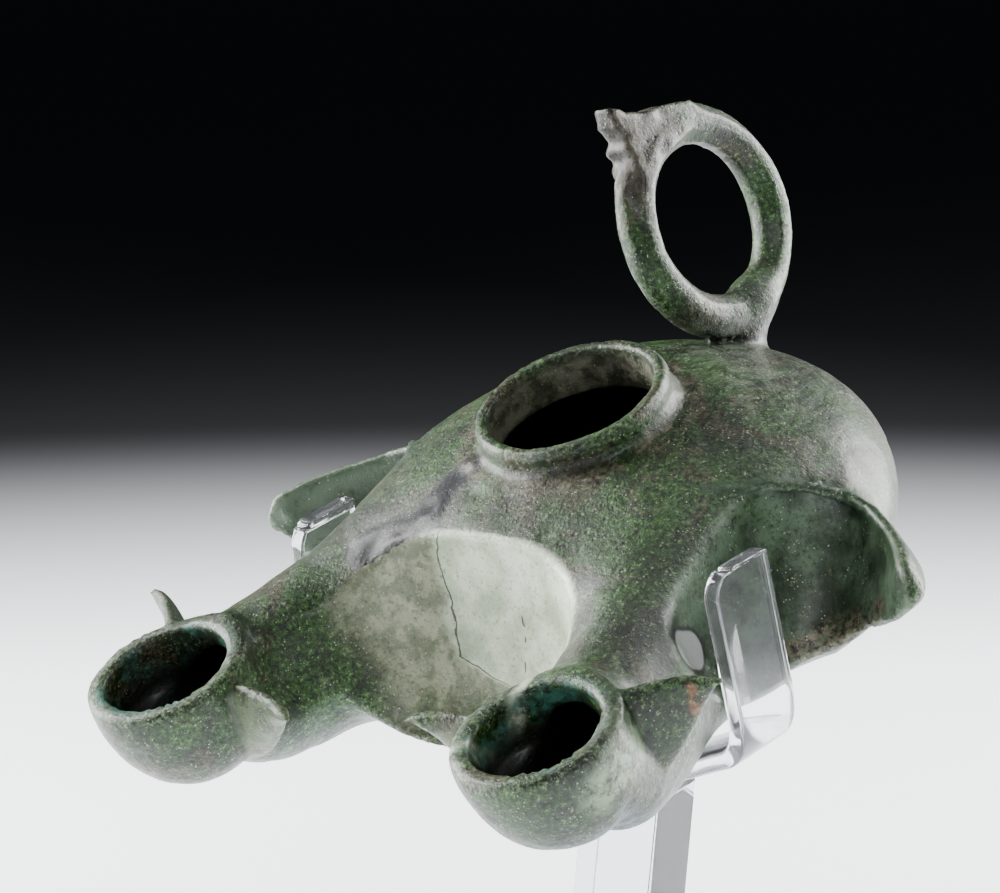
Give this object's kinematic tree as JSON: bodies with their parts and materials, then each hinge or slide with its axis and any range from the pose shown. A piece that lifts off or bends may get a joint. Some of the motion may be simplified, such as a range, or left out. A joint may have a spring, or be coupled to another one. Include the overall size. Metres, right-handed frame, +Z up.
{
  "type": "roman bronze oil lamp on a display cradle",
  "caption": "Hollow cast bronze oil lamp with twin nozzles, side wings, filler collar and ring handle, held nose-down in a clear acrylic display cradle.",
  "frame": {"origin": "middle of the acrylic foot's underside", "axes": "+Z up, +X towards the nozzles, +Y towards the lamp's left side"},
  "size_m": [0.1265, 0.1366, 0.1564],
  "materials": {
    "patinated_bronze": "corroded green patina, satin to matt",
    "clear_acrylic": "clear, flame-polished edges"
  },
  "bodies": {
    "root": {"lamp": "patinated_bronze", "cradle_strip": "clear_acrylic", "cradle_post": "clear_acrylic", "cradle_foot": "clear_acrylic"}
  },
  "joints": []
}
